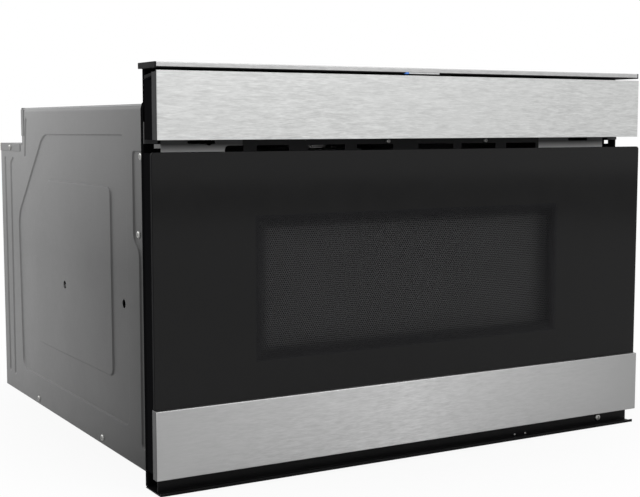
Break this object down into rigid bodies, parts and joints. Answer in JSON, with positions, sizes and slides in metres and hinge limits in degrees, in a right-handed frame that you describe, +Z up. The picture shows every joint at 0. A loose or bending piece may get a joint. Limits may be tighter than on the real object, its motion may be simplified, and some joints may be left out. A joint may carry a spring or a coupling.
{
  "type": "microwave drawer",
  "caption": "Built-in microwave oven whose whole front slides out as a drawer, with a tilting control panel hidden behind the upper front strip.",
  "frame": {"origin": "middle of the bounding box at its lowest level, the underside of the base plate and of the mounting flange", "axes": "+X to the right seen from the front, +Y to the rear, +Z up; the drawer opens towards -Y"},
  "size_m": [0.6064, 0.587, 0.4072],
  "materials": {
    "galvanised_steel": "satin",
    "black_steel": "satin",
    "stainless": "brushed",
    "black_plastic": "satin",
    "door_glass": "gloss",
    "clear_glass": "gloss",
    "control_glass": "gloss",
    "status_lens": "gloss",
    "cavity_steel": "satin",
    "mica": "matte",
    "screen_metal": "satin",
    "tray_plastic": "satin",
    "tray_ceramic": "gloss",
    "aluminium": "satin",
    "core_steel": "matte",
    "copper_coil": "satin",
    "board": "satin",
    "white_plastic": "satin",
    "zinc_steel": "satin"
  },
  "bodies": {
    "cabinet": {"front_frame": "black_steel", "vent_grille": "galvanised_steel", "top_trim": "stainless", "top_trim_carrier": "black_plastic", "status_light": "status_lens", "bottom_trim": "black_steel", "side_panel_left": "galvanised_steel", "side_panel_right": "galvanised_steel", "top_cover": "galvanised_steel", "rear_step_cover": "galvanised_steel", "back_plate": "galvanised_steel", "cord_inlet": "black_plastic", "base_plate": "galvanised_steel", "oven_cavity": "cavity_steel", "waveguide_cover": "mica", "waveguide": "galvanised_steel", "stirrer_motor": "zinc_steel", "magnetron_yoke": "galvanised_steel", "magnetron_core": "aluminium", "hv_transformer_core": "core_steel", "hv_transformer_coils": "copper_coil", "hv_capacitor": "aluminium", "fan_shroud": "galvanised_steel", "fan_motor": "core_steel", "control_board": "board", "noise_filter": "board", "interlock_switches": "black_plastic", "cavity_lamp": "white_plastic", "thermal_cutouts": "zinc_steel", "slide_outer_members": "zinc_steel", "rail_brackets": "galvanised_steel", "drive_bracket": "galvanised_steel", "drawer_motor": "zinc_steel", "hinge_brackets": "black_steel", "case_screws": "zinc_steel"},
    "drawer": {"door_lower_trim": "stainless", "door_glass": "door_glass", "door_frame": "black_plastic", "window_screen": "screen_metal", "door_inner_panel": "cavity_steel", "choke_cover": "black_plastic", "inner_window": "clear_glass", "latch_prongs": "white_plastic", "drawer_tray": "tray_plastic", "tray_base": "tray_ceramic", "drawer_rack": "white_plastic", "slide_inner_members": "zinc_steel"},
    "middle_slides": {"slide_middle_members": "zinc_steel"},
    "outer_cages": {"ball_cages_outer": "zinc_steel"},
    "inner_cages": {"ball_cages_inner": "zinc_steel"},
    "drive_pinion": {"drawer_pinion": "white_plastic"},
    "control_panel": {"panel_fascia": "stainless", "panel_housing": "black_plastic", "panel_glass": "control_glass", "panel_board": "board", "panel_motor": "zinc_steel", "panel_hinge_pins": "zinc_steel"},
    "panel_drive": {"panel_pinion": "white_plastic"},
    "fan": {"fan_blade": "black_plastic"},
    "stirrer": {"stirrer_blade": "aluminium"}
  },
  "joints": [
    {"name": "drawer_slide", "type": "slide", "parent": "cabinet", "child": "drawer", "axis": [0, -1, 0], "range_m": [0, 0.38]},
    {"name": "middle_slide", "type": "slide", "parent": "cabinet", "child": "middle_slides", "axis": [0, -1, 0], "range_m": [0, 0.19]},
    {"name": "outer_cage_slide", "type": "slide", "parent": "cabinet", "child": "outer_cages", "axis": [0, -1, 0], "range_m": [0, 0.095]},
    {"name": "inner_cage_slide", "type": "slide", "parent": "cabinet", "child": "inner_cages", "axis": [0, -1, 0], "range_m": [0, 0.285]},
    {"name": "drawer_pinion_spin", "type": "hinge", "parent": "cabinet", "child": "drive_pinion", "pos_m": [0, -0.2235, 0.046], "axis": [1, 0, 0], "range_deg": [0, 1361.8]},
    {"name": "panel_tilt", "type": "hinge", "parent": "cabinet", "child": "control_panel", "pos_m": [0, -0.2845, 0.342], "axis": [1, 0, 0], "range_deg": [0, 45]},
    {"name": "panel_pinion_spin", "type": "hinge", "parent": "control_panel", "child": "panel_drive", "pos_m": [-0.285, -0.26894, 0.35756], "axis": [1, 0, 0], "range_deg": [0, 121]},
    {"name": "fan_spin", "type": "hinge", "parent": "cabinet", "child": "fan", "pos_m": [-0.1, 0.2285, 0.236], "axis": [1, 0, 0], "continuous": true},
    {"name": "stirrer_spin", "type": "hinge", "parent": "cabinet", "child": "stirrer", "pos_m": [0, -0.0535, 0.3], "axis": [0, 0, 1], "continuous": true}
  ],
  "couplings": [
    {"joint": "middle_slide", "follows": "drawer_slide", "ratio": 0.5},
    {"joint": "outer_cage_slide", "follows": "drawer_slide", "ratio": 0.25},
    {"joint": "inner_cage_slide", "follows": "drawer_slide", "ratio": 0.75},
    {"joint": "drawer_pinion_spin", "follows": "drawer_slide", "rad_per_m": 62.5},
    {"joint": "panel_pinion_spin", "follows": "panel_tilt", "ratio": 2.6667}
  ]
}
